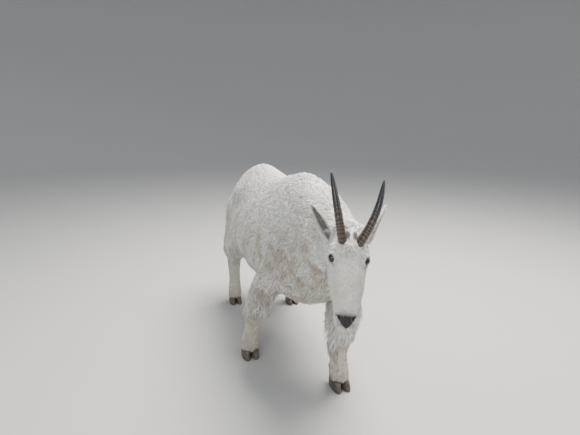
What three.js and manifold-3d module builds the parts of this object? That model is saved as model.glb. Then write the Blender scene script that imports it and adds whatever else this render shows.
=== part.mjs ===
// A mountain goat in its short summer coat, life size, walking with its head lowered and turned to its right.
// Millimetres, +Z up. The goat faces -Y and its left side is towards +X. It stands on the plane z = 0.
import * as THREE from "three";
import { mergeVertices } from "three/addons/utils/BufferGeometryUtils.js";
import Module from "manifold-3d";

const wasm = await Module();
wasm.setup();

const V = (x, y, z) => new THREE.Vector3(x, y, z);
const RAD = Math.PI / 180;
const GAP = 0.3; // between pieces that touch

// Head: its place and tilt on the neck, in the goat's frame
const POLL = V(-28, -812, 770);
const HEAD_DOWN = 47; // degrees below the horizontal
const HEAD_TURN = -26; // towards the goat's right
const HEAD_ROLL = 6;
const HORN_LENGTH = 212;
const HORN_WIDTH = 27;
const HORN_DEPTH = 36;
const EAR_LENGTH = { right: 130, left: 124 };
const EAR_HALF = 21;
const EYE_RADIUS = 15;
const HOOF_HEIGHT = 42;
const HOOF_WIDTH = { fore: 74, hind: 68 };
const COAT = 26; // how deep the locks lie over the body
const CORE = 0.45; // the part of that depth filled by the body's core

// Solids: closed surfaces joined and cut

function solidOf(geometry) {
  const bare = new THREE.BufferGeometry();
  const source = geometry.index ? geometry.toNonIndexed() : geometry;
  bare.setAttribute("position", source.getAttribute("position"));
  const merged = mergeVertices(bare, 1e-3);
  return new wasm.Manifold(
    new wasm.Mesh({
      numProp: 3,
      vertProperties: new Float32Array(merged.attributes.position.array),
      triVerts: new Uint32Array(merged.index.array),
    }),
  );
}

const joined = (solids) => wasm.Manifold.union(solids);
// The part of a solid on the side of a plane that its normal points to
const beyond = (solid, normal, point, gap = 0) =>
  solid.trimByPlane(normal.toArray(), normal.dot(point) + gap);

// The largest closed surface of a solid, without loose scraps or sealed hollows
function outerSurface({ vertProperties, triVerts }) {
  const parent = Array.from({ length: vertProperties.length / 3 }, (_, i) => i);
  const find = (i) => {
    while (parent[i] !== i) i = parent[i] = parent[parent[i]];
    return i;
  };
  for (let t = 0; t < triVerts.length; t += 3) {
    parent[find(triVerts[t])] = find(triVerts[t + 1]);
    parent[find(triVerts[t + 1])] = find(triVerts[t + 2]);
  }
  const groups = new Map();
  for (let t = 0; t < triVerts.length; t += 3) {
    const root = find(triVerts[t]);
    if (!groups.has(root)) groups.set(root, []);
    groups.get(root).push(...triVerts.slice(t, t + 3));
  }
  const corner = (i) => V(...vertProperties.slice(3 * i, 3 * i + 3));
  const volume = (index) => {
    let sum = 0;
    for (let t = 0; t < index.length; t += 3)
      sum += corner(index[t]).dot(corner(index[t + 1]).cross(corner(index[t + 2])));
    return sum;
  };
  return [...groups.values()].reduce((a, b) => (volume(b) > volume(a) ? b : a));
}

function node(name, solid, material) {
  const mesh3 = solid.getMesh();
  const bare = new THREE.BufferGeometry();
  bare.setAttribute("position", new THREE.BufferAttribute(mesh3.vertProperties, 3));
  bare.setIndex(outerSurface(mesh3));
  const loose = bare.toNonIndexed();
  const geometry = mergeVertices(loose, 1e-6);
  geometry.computeVertexNormals();
  const mesh = new THREE.Mesh(geometry, material);
  mesh.name = name;
  return mesh;
}

// Forms: a rounded section carried along a row of girths

// A girth from the points where the outline lies above and below, as in a side view
function girth(above, below, half, { widest = 0.5, peak = 1, keel = 1, x = 0, turn = 0 } = {}) {
  const top = V(x, ...above);
  const bottom = V(x, ...below);
  const centre = bottom.clone().lerp(top, widest);
  return {
    centre,
    up: top.clone().sub(bottom).normalize(),
    side: V(Math.cos(turn * RAD), Math.sin(turn * RAD), 0),
    size: V(top.distanceTo(centre), bottom.distanceTo(centre), half),
    bend: V(peak, keel, 0),
  };
}

// The surface of a form: u runs along it from 0 to 1, and the angle goes round it from its side, with its top
// at 90 degrees. The section is half an ellipse above and half below, and peak or keel over 1 draws it in.
function surface(girths) {
  const through = (key) =>
    new THREE.CatmullRomCurve3(girths.map((g) => g[key]), false, "catmullrom", 0.5);
  const [centre, up, side, size, bend] = ["centre", "up", "side", "size", "bend"].map(through);
  return (u, angle, grow = 0) => {
    const [c, s] = [Math.cos(angle), Math.sin(angle)];
    const reach = size.getPoint(u);
    const power = bend.getPoint(u);
    const high =
      s >= 0 ? s ** power.x * (reach.x + grow) : -((-s) ** power.y) * (reach.y + grow);
    return centre
      .getPoint(u)
      .addScaledVector(up.getPoint(u).normalize(), high)
      .addScaledVector(side.getPoint(u).normalize(), c * (reach.z + grow));
  };
}

// Closes rings of points into one solid, with the middle of each end ring as its pole
function ringsToSolid(rings) {
  const sides = rings[0].length;
  const middle = (ring) =>
    ring.reduce((sum, p) => sum.add(p), V(0, 0, 0)).divideScalar(sides);
  const points = [...rings.flat(), middle(rings[0]), middle(rings.at(-1))];
  const index = [];
  const at = (ring, k) => ring * sides + (k % sides);
  for (let ring = 0; ring < rings.length - 1; ring++)
    for (let k = 0; k < sides; k++)
      index.push(
        ...[at(ring, k), at(ring, k + 1), at(ring + 1, k + 1)],
        ...[at(ring, k), at(ring + 1, k + 1), at(ring + 1, k)],
      );
  const [first, last] = [points.length - 2, points.length - 1];
  for (let k = 0; k < sides; k++)
    index.push(
      ...[first, at(0, k + 1), at(0, k)],
      ...[last, at(rings.length - 1, k), at(rings.length - 1, k + 1)],
    );
  const geometry = new THREE.BufferGeometry().setFromPoints(points);
  geometry.setIndex(index);
  const made = solidOf(geometry);
  if (made.volume() > 0) return made;
  geometry.setIndex(index.reverse());
  return solidOf(geometry);
}

function solidForm(skin, steps, sides, grow = 0) {
  const rings = Array.from({ length: steps + 1 }, (_, i) =>
    Array.from({ length: sides }, (_, k) => skin(i / steps, (2 * Math.PI * k) / sides, grow)),
  );
  return ringsToSolid(rings);
}

function ellipsoid(centre, radii, turn = new THREE.Matrix4(), [across, round] = [7, 12]) {
  const ball = new THREE.SphereGeometry(1, round, across);
  ball.scale(...radii).applyMatrix4(turn).translate(...centre.toArray());
  return solidOf(ball);
}

// Trunk and neck: one form from the buttocks to the poll

const TRUNK = [
  girth([560, 660], [566, 610], 26, { x: -18 }),
  girth([548, 728], [560, 540], 92, { x: -14 }),
  girth([470, 796], [500, 462], 146, { widest: 0.52, peak: 1.25, x: -12 }),
  girth([350, 836], [395, 400], 184, { widest: 0.5, peak: 1.5, x: -8 }),
  girth([200, 822], [240, 350], 208, { widest: 0.46, peak: 1.5, x: -4 }),
  girth([60, 806], [70, 318], 219, { widest: 0.44, peak: 1.4 }),
  girth([-90, 812], [-100, 314], 214, { widest: 0.44, peak: 1.4 }),
  girth([-215, 846], [-235, 322], 200, { widest: 0.45, peak: 1.5 }),
  girth([-325, 868], [-365, 336], 184, { widest: 0.46, peak: 1.55 }),
  girth([-430, 858], [-490, 376], 164, { widest: 0.47, peak: 1.4, x: -2, turn: -4 }),
  girth([-530, 836], [-580, 440], 138, { widest: 0.48, peak: 1.2, x: -8, turn: -8 }),
  girth([-625, 812], [-650, 525], 106, { widest: 0.5, peak: 1.1, x: -18, turn: -12 }),
  girth([-715, 792], [-705, 592], 84, { widest: 0.52, x: -28, turn: -16 }),
  girth([-790, 778], [-745, 650], 62, { widest: 0.52, x: -36, turn: -20 }),
  girth([-818, 764], [-770, 690], 40, { widest: 0.5, x: -40, turn: -24 }),
];
const trunkSkin = surface(TRUNK);
const TRUNK_STEPS = 20;
const TRUNK_SIDES = 18;
const trunk = solidForm(trunkSkin, TRUNK_STEPS, TRUNK_SIDES, -COAT * (1 - CORE));

// Legs: level girths, each row giving its height, where it lies in front and behind, its half width, and its middle

const LEGS = {
  foreleg_right: [
    [620, -440, -340, 30, -90],
    [560, -450, -300, 60, -104],
    [480, -436, -276, 64, -132],
    [420, -402, -258, 64, -156],
    [350, -350, -230, 57, -174],
    [290, -310, -205, 51, -184],
    [245, -270, -180, 50, -187],
    [212, -252, -168, 48, -191],
    [182, -236, -160, 40, -195],
    [140, -217, -146, 38, -199],
    [102, -204, -128, 42, -203],
    [72, -202, -118, 44, -205],
    [HOOF_HEIGHT, -206, -114, 45, -206],
  ],
  foreleg_left: [
    [620, -450, -370, 30, 90],
    [560, -470, -330, 60, 100],
    [480, -496, -338, 68, 114],
    [420, -518, -362, 68, 118],
    [350, -546, -400, 66, 116],
    [290, -560, -432, 56, 100],
    [245, -566, -458, 50, 90],
    [212, -562, -472, 48, 86],
    [182, -548, -470, 40, 87],
    [140, -536, -464, 38, 91],
    [102, -532, -456, 42, 94],
    [72, -536, -450, 44, 96],
    [HOOF_HEIGHT, -542, -450, 45, 97],
  ],
  hindleg_right: [
    [690, 300, 450, 40, -96],
    [630, 232, 530, 74, -112],
    [560, 200, 542, 80, -118],
    [490, 192, 540, 82, -130],
    [430, 212, 524, 80, -144],
    [370, 270, 512, 70, -156],
    [315, 352, 512, 55, -160],
    [268, 412, 522, 45, -163],
    [235, 424, 512, 42, -165],
    [195, 418, 488, 38, -167],
    [145, 408, 474, 36, -169],
    [102, 398, 474, 40, -170],
    [72, 394, 478, 42, -170],
    [HOOF_HEIGHT, 390, 478, 43, -170],
  ],
  hindleg_left: [
    [690, 290, 440, 40, 76],
    [630, 215, 515, 74, 92],
    [560, 166, 516, 80, 102],
    [490, 132, 492, 82, 114],
    [430, 134, 452, 80, 128],
    [370, 170, 420, 70, 140],
    [315, 246, 408, 55, 144],
    [268, 306, 412, 45, 147],
    [235, 316, 400, 42, 149],
    [195, 310, 378, 38, 150],
    [145, 298, 364, 36, 151],
    [102, 290, 364, 40, 152],
    [72, 286, 368, 42, 152],
    [HOOF_HEIGHT, 284, 370, 43, 152],
  ],
};
const LEG_STEPS = 15;
const LEG_SIDES = 10;
const legSkin = (rows) =>
  surface(rows.map(([z, front, behind, half, x]) => girth([behind, z], [front, z], half, { x })));

// Head: modelled level, facing -Y from the poll at its origin, then set on the neck

const headSet = new THREE.Matrix4()
  .makeTranslation(...POLL.toArray())
  .multiply(new THREE.Matrix4().makeRotationZ(HEAD_TURN * RAD))
  .multiply(new THREE.Matrix4().makeRotationX(HEAD_DOWN * RAD))
  .multiply(new THREE.Matrix4().makeRotationY(HEAD_ROLL * RAD));
const inHead = (solid) => solid.transform(headSet.elements);

const SKULL = [
  girth([28, -22], [40, -120], 40),
  girth([0, 0], [12, -148], 54, { widest: 0.6 }),
  girth([-45, 8], [-35, -155], 59, { widest: 0.62, peak: 0.9 }),
  girth([-82, 6], [-80, -150], 61, { widest: 0.66, peak: 0.85 }),
  girth([-110, 0], [-118, -138], 57, { widest: 0.66, peak: 0.9 }),
  girth([-150, -7], [-155, -122], 48, { widest: 0.58 }),
  girth([-190, -14], [-196, -106], 39, { widest: 0.52 }),
  girth([-230, -21], [-232, -96], 34, { widest: 0.5 }),
  girth([-262, -30], [-258, -94], 33, { widest: 0.5 }),
  girth([-284, -44], [-276, -88], 28, { widest: 0.5 }),
  girth([-292, -56], [-288, -78], 18, { widest: 0.5 }),
];
const skullSkin = surface(SKULL);
const SKULL_STEPS = 18;
const SKULL_SIDES = 14;
const skull = solidForm(skullSkin, SKULL_STEPS, SKULL_SIDES);
const skullGrown = solidForm(skullSkin, SKULL_STEPS, SKULL_SIDES, 2 * GAP);

const EYE_PLACE = V(46, -92, -26);
const EYE_GAZE = V(0.86, -0.42, 0.28).normalize();
const mirrored = (v, side) => V(side * v.x, v.y, v.z);
const faceTowards = (direction) =>
  new THREE.Matrix4().makeRotationFromQuaternion(
    new THREE.Quaternion().setFromUnitVectors(V(0, 0, 1), direction),
  );
const eyeball = (side, grow = 0) => {
  const radius = EYE_RADIUS + grow;
  return ellipsoid(mirrored(EYE_PLACE, side), [radius, radius, radius], undefined, [8, 12]);
};
// A fold of skin round the eye, heavier above as a brow
function lids(side) {
  const gaze = mirrored(EYE_GAZE, side);
  const rim = new THREE.TorusGeometry(13, 4.2, 6, 14);
  rim.scale(1.08, 1, 1).applyMatrix4(faceTowards(gaze));
  rim.translate(...mirrored(EYE_PLACE, side).addScaledVector(gaze, 6).toArray());
  return solidOf(rim);
}

const MOUTH_DEPTH = 9;
const MOUTH_HEIGHT = 2;
function mouthLine() {
  const slot = new THREE.BoxGeometry(90, 74, MOUTH_HEIGHT);
  slot.rotateX(-7 * RAD).translate(0, -262, -80);
  return solidOf(slot).subtract(solidForm(skullSkin, 12, 10, -MOUTH_DEPTH));
}
const nostril = (side) =>
  ellipsoid(V(side * 15, -292, -50), [7, 10, 3.6], new THREE.Matrix4().makeRotationY(side * 32 * RAD));
const nosePad = ellipsoid(V(0, -281, -57), [25, 14, 19]);
const chin = ellipsoid(V(0, -266, -88), [23, 20, 12]);

const features = joined([skull, nosePad, chin, lids(1), lids(-1)]);
const headForm = features.subtract(
  joined([eyeball(1, GAP), eyeball(-1, GAP), nostril(1), nostril(-1), mouthLine()]),
);

// Materials
const WOOL = new THREE.MeshStandardMaterial({ color: 0xe9e6da, roughness: 0.95, metalness: 0 });
const KERATIN = new THREE.MeshStandardMaterial({ color: 0x2b2622, roughness: 0.45, metalness: 0 });
const HOOF = new THREE.MeshStandardMaterial({ color: 0x3a342c, roughness: 0.6, metalness: 0 });
const EYE = new THREE.MeshStandardMaterial({ color: 0x120d0a, roughness: 0.08, metalness: 0 });

// Horns: oval, tapering and curving back and out. The right one stands straight out to its tip, and the
// left one, a little shorter, leans out most at its base.
const HORNS = {
  right: { side: -1, start: 22, lean: 14.5, bow: 0, length: HORN_LENGTH },
  left: { side: 1, start: 27, lean: 15, bow: 9, length: 0.95 * HORN_LENGTH },
};
function hornRings({ side, start, lean, bow, length }) {
  const rings = [];
  const steps = 18;
  const place = V(side * start, -48, -6);
  for (let i = 0; i <= steps; i++) {
    const t = i / steps;
    const rise = 58 - 38 * t;
    const spread = lean + bow * Math.cos(Math.PI * t);
    const taper = 1.04 * (1 - 0.42 * t) * Math.sqrt(1 - t ** 5);
    const ring = t > 0.1 && t < 0.65 ? 1 + 0.05 * (i % 2) : 1;
    const along = V(
      side * Math.sin(spread * RAD),
      Math.cos(rise * RAD) * Math.cos(spread * RAD),
      Math.sin(rise * RAD) * Math.cos(spread * RAD),
    );
    const across = V(1, 0, 0).addScaledVector(along, -along.x).normalize();
    const deep = along.clone().cross(across);
    rings.push(
      Array.from({ length: 8 }, (_, k) => {
        const angle = (2 * Math.PI * k) / 8;
        return place
          .clone()
          .addScaledVector(across, Math.cos(angle) * Math.max(1.2, (HORN_WIDTH / 2) * taper * ring))
          .addScaledVector(deep, Math.sin(angle) * Math.max(1.2, (HORN_DEPTH / 2) * taper * ring));
      }),
    );
    place.addScaledVector(along, length / steps);
  }
  return rings;
}
// Ears: a narrow leaf, hollowed on its front
function earSolid(root, along, front, length) {
  const across = front.clone().cross(along).normalize();
  const rings = [];
  const steps = 7;
  for (let i = 0; i <= steps; i++) {
    const t = i / steps;
    const half = EAR_HALF * Math.sin(Math.PI * (0.16 + 0.84 * t) ** 0.75) ** 0.8 + 0.8;
    const cup = 11 * (1 - t) ** 0.6;
    const middle = root.clone().addScaledVector(along, length * t);
    const ring = [];
    for (let k = 0; k <= 6; k++) {
      const s = -1 + k / 3;
      ring.push(middle.clone().addScaledVector(across, s * half).addScaledVector(front, cup * (s * s - 0.6)));
    }
    for (let k = 5; k > 0; k--) {
      const s = -1 + k / 3;
      const thick = 3 + 8 * (1 - t);
      ring.push(
        middle.clone().addScaledVector(across, s * half * 0.97)
          .addScaledVector(front, cup * (s * s - 0.6) - thick * (1 - s * s) - 2),
      );
    }
    rings.push(ring);
  }
  return ringsToSolid(rings);
}
const EARS = {
  right: [V(-54, -30, -40), V(-0.53, 0.84, 0.12).normalize(), V(-0.52, -0.45, 0.66).normalize()],
  left: [V(54, -30, -40), V(0.38, 0.87, 0.31).normalize(), V(0.9, -0.3, 0.15).normalize()],
};

// Locks of the coat: flat, tapering, lying along a skin from root to tip

let seed = 20240;
function chance(low, high) {
  seed = (seed * 1664525 + 1013904223) % 4294967296;
  return low + ((high - low) * seed) / 4294967296;
}

// A lock from the points of its spine, each with the way across it and the way out from the body
function lockSolid(spine, width, thickness) {
  const taper = [0.72, 1, 0.8];
  const rings = taper.map((part, i) => {
    const { at, across, out } = spine[i];
    const half = (width / 2) * part;
    const deep = (thickness / 2) * (1.25 - 0.25 * i);
    return [
      at.clone().addScaledVector(across, half).addScaledVector(out, -deep),
      at.clone().addScaledVector(out, deep),
      at.clone().addScaledVector(across, -half).addScaledVector(out, -deep),
    ];
  });
  const { at, across, out } = spine[3];
  rings.push([
    at.clone().addScaledVector(across, 0.1 * width).addScaledVector(out, -0.1 * thickness),
    at.clone().addScaledVector(out, 0.1 * thickness),
    at.clone().addScaledVector(across, -0.1 * width).addScaledVector(out, -0.1 * thickness),
  ]);
  return ringsToSolid(rings);
}

const STATIONS = [0, 0.36, 0.72, 1];
// One lock on a skin: it starts sunk in the core and lies along the skin as far as its length
function coatLock(skin, u, angle, { length, width, fall, stand = 0, along = 1, depth = COAT }) {
  const near = Math.min(Math.max(u, 0.02), 0.97);
  const pace = skin(near + 0.01, angle).distanceTo(skin(near - 0.01, angle)) / 0.02;
  const girthPace = skin(u, angle + 0.05).distanceTo(skin(u, angle - 0.05)) / 0.1;
  const du = (along * length * Math.sqrt(1 - fall * fall)) / pace;
  const da = (length * fall) / girthPace;
  const place = (t) => {
    const height = -depth * (1.15 - 1.05 * Math.min(1, t * 1.25)) + stand * t * t;
    return skin(Math.min(Math.max(u + du * t, 0), 1), angle + da * t, height);
  };
  const spine = STATIONS.map((t) => {
    const at = place(t);
    const lie = place(t + 0.05).sub(place(t - 0.05)).normalize();
    const [uu, aa] = [Math.min(Math.max(u + du * t, 0), 1), angle + da * t];
    const out = skin(uu, aa, 10).sub(skin(uu, aa, 0)).normalize();
    const across = lie.clone().cross(out).normalize();
    return { at, across, out };
  });
  return lockSolid(spine, width, depth * 0.55);
}

// Down the side that an angle lies on: from the back towards the belly
const downwards = (angle) => (Math.cos(angle) >= 0 ? -1 : 1);

function trunkLocks() {
  const locks = [];
  const [rows, wide, long] = [9, 152, 205];
  for (let row = 0; row < rows; row++) {
    const u = 0.16 + (0.65 * row) / (rows - 1);
    let around = 0;
    for (let k = 0; k < 36; k++)
      around += trunkSkin(u, (k * Math.PI) / 18).distanceTo(trunkSkin(u, ((k + 1) * Math.PI) / 18));
    const count = Math.round(around / wide);
    for (let k = 0; k < count; k++) {
      const angle = Math.PI / 2 + (2 * Math.PI * (k + 0.5 * (row % 2))) / count + chance(-0.03, 0.03);
      const fall = downwards(angle) * (0.2 + 0.45 * Math.abs(Math.cos(angle)));
      locks.push(coatLock(trunkSkin, u + chance(-0.008, 0.008), angle, {
        length: long * chance(0.85, 1.15),
        width: wide * chance(0.8, 1.05),
        fall: fall * chance(0.7, 1.2),
        stand: chance(0, 5),
        along: -1,
      }));
    }
  }
  return locks;
}

// The long hair of the forearms and thighs, ending in a fringe above the knees and hocks
function legLocks(skin, name) {
  const locks = [];
  const fore = name.startsWith("fore");
  const rows = fore ? [0.52] : [0.44];
  rows.forEach((u, row) => {
    const count = 6;
    for (let k = 0; k < count; k++) {
      const angle = (2 * Math.PI * (k + 0.5 * (row % 2))) / count + chance(-0.1, 0.1);
      locks.push(coatLock(skin, u, angle, {
        length: (fore ? 88 : 96) * chance(0.85, 1.1),
        width: fore ? 62 : 68,
        fall: chance(-0.12, 0.12),
        stand: chance(4, 12),
        depth: 12,
      }));
    }
  });
  return locks;
}

// Tufts over the hoof
function footLocks(skin) {
  return Array.from({ length: 4 }, (_, k) =>
    coatLock(skin, 0.9, (2 * Math.PI * k) / 4 + 0.65, {
      length: 46 * chance(0.9, 1.05),
      width: 34,
      fall: 0,
      stand: chance(3, 6),
      depth: 8,
    }),
  );
}

// A short beard hanging straight down behind the chin
function beard() {
  const locks = [];
  const rows = [-150, -178, -206, -232];
  rows.forEach((y, row) => {
    for (const x of row === 3 ? [0] : [-11, 11]) {
      const root = V(x + chance(-2, 2), y, -104 + row * 7).applyMatrix4(headSet);
      const length = (row === 3 ? 44 : 74) * chance(0.85, 1.1);
      const sway = V(chance(-0.08, 0.08), 0.16 + chance(0, 0.1), -1).normalize();
      const across = V(1, 0.35 * Math.sign(x), 0).normalize();
      const out = sway.clone().cross(across).normalize();
      const spine = STATIONS.map((t) => ({
        at: root.clone().addScaledVector(sway, length * t).addScaledVector(out, 5 * t * t),
        across,
        out,
      }));
      locks.push(lockSolid(spine, 30, 13));
    }
  });
  return locks;
}

const goat = new THREE.Group();
const legSkins = Object.fromEntries(Object.entries(LEGS).map(([name, rows]) => [name, legSkin(rows)]));
const legs = Object.fromEntries(
  Object.entries(legSkins).map(([name, skin]) => [name, solidForm(skin, LEG_STEPS, LEG_SIDES)]),
);
const tail = solidForm(
  surface([
    girth([500, 760], [500, 700], 34, { x: -18 }),
    girth([548, 742], [530, 690], 36, { x: -18 }),
    girth([582, 706], [548, 660], 34, { x: -18 }),
    girth([600, 655], [566, 630], 26, { x: -18 }),
    girth([600, 612], [582, 606], 8, { x: -18 }),
  ]),
  8,
  10,
);
const coat = [
  ...trunkLocks(),
  ...Object.entries(legSkins).flatMap(([name, skin]) => [...legLocks(skin, name), ...footLocks(skin)]),
  ...beard(),
];
const whole = joined([trunk, tail, ...Object.values(legs), ...coat])
  .subtract(inHead(joined([eyeball(1, GAP), eyeball(-1, GAP)])))
  .add(inHead(headForm));

// Cells: each a few planes, and a node is what the whole has inside its cell
const everywhere = () => solidOf(new THREE.BoxGeometry(4000, 4000, 4000));
const cell = (planes, gap = 0) =>
  planes.reduce((solid, [normal, point]) => beyond(solid, normal.clone().normalize(), point, -gap), everywhere());
const headPlane = (normal, point) => [
  normal.clone().transformDirection(headSet),
  point.clone().applyMatrix4(headSet),
];
const CELLS = {
  head: [
    headPlane(V(0, -1, 0), V(0, 2, 0)),
    headPlane(V(0, 0, 1), V(0, 0, -190)),
  ],
  neck: [[V(-0.1, -1, 0.3), V(0, -520, 620)]],
  tail: [[V(0, 1, -0.35), V(0, 556, 700)], [V(0, 0, 1), V(0, 0, 600)]],
  foreleg_right: [
    [V(-0.6, 0, -0.8), V(-55, 0, 335)],
    [V(-1, 0, 0), V(-8, 0, 0)],
    [V(0, 1, 0), V(0, -460, 0)],
    [V(0, -1, 0), V(0, -80, 0)],
  ],
  foreleg_left: [
    [V(0.6, 0, -0.8), V(45, 0, 335)],
    [V(1, 0, 0), V(8, 0, 0)],
    [V(0, -1, 0), V(0, -260, 0)],
  ],
  hindleg_right: [
    [V(-0.78, 0, -0.62), V(-40, 0, 400)],
    [V(-1, 0, 0), V(-26, 0, 0)],
    [V(0, 1, 0), V(0, 130, 0)],
  ],
  hindleg_left: [
    [V(0.78, 0, -0.62), V(20, 0, 400)],
    [V(1, 0, 0), V(6, 0, 0)],
    [V(0, 1, 0), V(0, 80, 0)],
  ],
};
const around = joined([
  inHead(skullGrown),
  solidForm(trunkSkin, TRUNK_STEPS, TRUNK_SIDES, 2 * GAP),
]);
// Where a leg is parted again, from the top down
const PARTS = {
  foreleg: [["upper", 216], ["lower", 0]],
  hindleg: [["thigh", 402], ["shank", 233], ["lower", 0]],
};
let torso = whole;
for (const [name, planes] of Object.entries(CELLS)) {
  torso = torso.subtract(cell(planes, GAP));
  let piece = whole.intersect(cell(planes));
  if (name === "neck") piece = piece.subtract(cell(CELLS.head, GAP));
  for (const [part, floor] of PARTS[name.split("_")[0]] ?? [["", 0]]) {
    const above = floor ? beyond(piece, V(0, 0, 1), V(0, 0, floor)) : piece;
    if (floor) piece = beyond(piece, V(0, 0, -1), V(0, 0, floor), GAP);
    goat.add(node(part ? `${name}_${part}` : name, above, WOOL));
  }
}
goat.add(node("torso", torso, WOOL));
for (const side of ["right", "left"]) {
  const sign = side === "left" ? 1 : -1;
  goat.add(node(`horn_${side}`, inHead(ringsToSolid(hornRings(HORNS[side]))).subtract(around), KERATIN));
  goat.add(node(`eye_${side}`, inHead(eyeball(sign)), EYE));
  goat.add(node(`ear_${side}`, inHead(earSolid(...EARS[side], EAR_LENGTH[side])).subtract(around), WOOL));
}

// Hooves: two claws joined under the coronet, with a pair of dewclaws behind each fetlock
function hoof(rows, pair) {
  const [, front, behind, , middle] = rows.at(-1);
  const half = HOOF_WIDTH[pair] / 4;
  const claw = (side) => {
    const x = middle + side * (half + 1.5);
    return solidForm(
      legSkin([
        [HOOF_HEIGHT - GAP, front + 6, behind - 8, half - 1, middle + side * (half - 3)],
        [HOOF_HEIGHT * 0.66, front, behind - 4, half + 0.5, x - side],
        [HOOF_HEIGHT * 0.33, front - 6, behind - 3, half + 1, x],
        [0, front - 10, behind - 6, half, x],
      ]),
      3,
      10,
    );
  };
  return joined([claw(1), claw(-1)]);
}
const DEWCLAW = [8, 10, 13];
for (const [name, rows] of Object.entries(LEGS)) {
  goat.add(node(`hoof_${name}`, hoof(rows, name.slice(0, 4)), HOOF));
  const grown = solidForm(legSkin(rows), LEG_STEPS, LEG_SIDES, GAP);
  const [z, , behind, , x] = rows.at(-2);
  for (const [place, side] of [["left", 1], ["right", -1]]) {
    const claw = ellipsoid(V(x + side * 19, behind + 1, z - 4), DEWCLAW, undefined, [5, 7]);
    goat.add(node(`dewclaw_${name}_${place}`, claw.subtract(grown), HOOF));
  }
}

// The origin lies on the ground below the middle of the goat
const reach = new THREE.Box3().setFromObject(goat);
goat.position.set(-(reach.min.x + reach.max.x) / 2, -(reach.min.y + reach.max.y) / 2, -reach.min.z);

export default goat;
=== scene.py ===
import math

import bmesh
import bpy
import mathutils
import numpy as np
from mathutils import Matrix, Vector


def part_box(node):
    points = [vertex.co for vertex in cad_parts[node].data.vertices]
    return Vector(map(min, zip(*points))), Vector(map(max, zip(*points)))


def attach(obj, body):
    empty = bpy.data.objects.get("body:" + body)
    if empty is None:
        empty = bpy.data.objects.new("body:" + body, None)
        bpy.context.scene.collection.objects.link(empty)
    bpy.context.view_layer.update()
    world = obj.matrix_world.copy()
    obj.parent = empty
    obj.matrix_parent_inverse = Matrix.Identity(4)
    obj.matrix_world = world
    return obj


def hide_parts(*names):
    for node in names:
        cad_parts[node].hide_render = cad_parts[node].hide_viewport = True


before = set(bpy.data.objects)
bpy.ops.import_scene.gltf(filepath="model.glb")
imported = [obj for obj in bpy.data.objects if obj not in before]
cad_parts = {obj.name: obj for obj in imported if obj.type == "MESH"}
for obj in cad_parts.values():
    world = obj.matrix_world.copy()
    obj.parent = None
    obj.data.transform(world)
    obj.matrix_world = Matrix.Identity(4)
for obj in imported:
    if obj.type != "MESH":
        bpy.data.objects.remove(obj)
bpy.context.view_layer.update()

rng = np.random.default_rng(7)

# Where the goat stands: its own drawing has the midline at x = 0 and is in millimetres. The left forehoof
# is symmetric about x = 97 mm, and its toe is at y = -552 mm, so its packed box gives the shift.
HOOF_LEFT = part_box("hoof_foreleg_left")
HOOF_MIDDLE, HOOF_TOE = 0.097, -0.552
SHIFT = np.array([
    (HOOF_LEFT[0][0] + HOOF_LEFT[1][0]) / 2 - HOOF_MIDDLE,
    HOOF_LEFT[0][1] - HOOF_TOE,
    0.0,
])


def placed(points_mm):
    """Millimetres in the goat's drawing to metres in the frame."""
    return np.asarray(points_mm, float) / 1000 + SHIFT


# The trunk and neck under the coat: one rounded form from the buttocks to the poll, flesh and short wool
# together. Each row is a girth: where its outline lies above and below as (y, z), its half width, the
# share of its height below its widest line, how far its top is drawn in like a roof, its middle, and its
# turn in degrees.
TRUNK = [
    ((560, 660), (566, 610), 26, 0.5, 1, -18, 0),
    ((548, 728), (560, 540), 92, 0.5, 1, -14, 0),
    ((470, 796), (500, 462), 146, 0.52, 1.25, -12, 0),
    ((350, 836), (395, 400), 184, 0.5, 1.5, -8, 0),
    ((200, 822), (240, 350), 208, 0.46, 1.5, -4, 0),
    ((60, 806), (70, 318), 219, 0.44, 1.4, 0, 0),
    ((-90, 812), (-100, 314), 214, 0.44, 1.4, 0, 0),
    ((-215, 846), (-235, 322), 200, 0.45, 1.5, 0, 0),
    ((-325, 868), (-365, 336), 184, 0.46, 1.55, 0, 0),
    ((-430, 858), (-490, 376), 164, 0.47, 1.4, -2, -4),
    ((-530, 836), (-580, 440), 138, 0.48, 1.2, -8, -8),
    ((-625, 812), (-650, 525), 106, 0.5, 1.1, -18, -12),
    ((-715, 792), (-705, 592), 84, 0.52, 1, -28, -16),
    ((-790, 778), (-745, 650), 62, 0.52, 1, -36, -20),
    ((-818, 764), (-770, 690), 40, 0.5, 1, -40, -24),
]


def unit(vector):
    """The vector made one long."""
    return np.asarray(vector, float) / np.linalg.norm(vector)


def units(vectors, spare=0.0):
    """Each row made one long; the spare length keeps a row of zeros as it is."""
    return vectors / (np.linalg.norm(vectors, axis=-1, keepdims=True) + spare)


def girths(rows):
    """Rows of a form as one array: centre, up, side, reach above, reach below, half width and roof."""
    table = []
    for above, below, half, widest, peak, x, turn in rows:
        top, bottom = np.array([x, *above], float), np.array([x, *below], float)
        centre = bottom + (top - bottom) * widest
        up = unit(top - bottom)
        side = [math.cos(math.radians(turn)), math.sin(math.radians(turn)), 0]
        reach = [np.linalg.norm(top - centre), np.linalg.norm(bottom - centre), half, peak]
        table.append([*centre, *up, *side, *reach])
    return np.array(table)


def through(table, u):
    """A smooth line through the rows: each span is the cubic that leaves a row along the line between
    its neighbours, halved."""
    rows = np.vstack([2 * table[0] - table[1], table, 2 * table[-1] - table[-2]])
    at = np.clip(np.asarray(u, float), 0, 1) * (len(table) - 1)
    k = np.minimum(at.astype(int), len(table) - 2)
    t = (at - k)[..., None]
    a, b, c, d = rows[k], rows[k + 1], rows[k + 2], rows[k + 3]
    v0, v1 = (c - a) / 2, (d - b) / 2
    return (2 * b - 2 * c + v0 + v1) * t**3 + (-3 * b + 3 * c - 2 * v0 - v1) * t**2 + v0 * t + b


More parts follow.
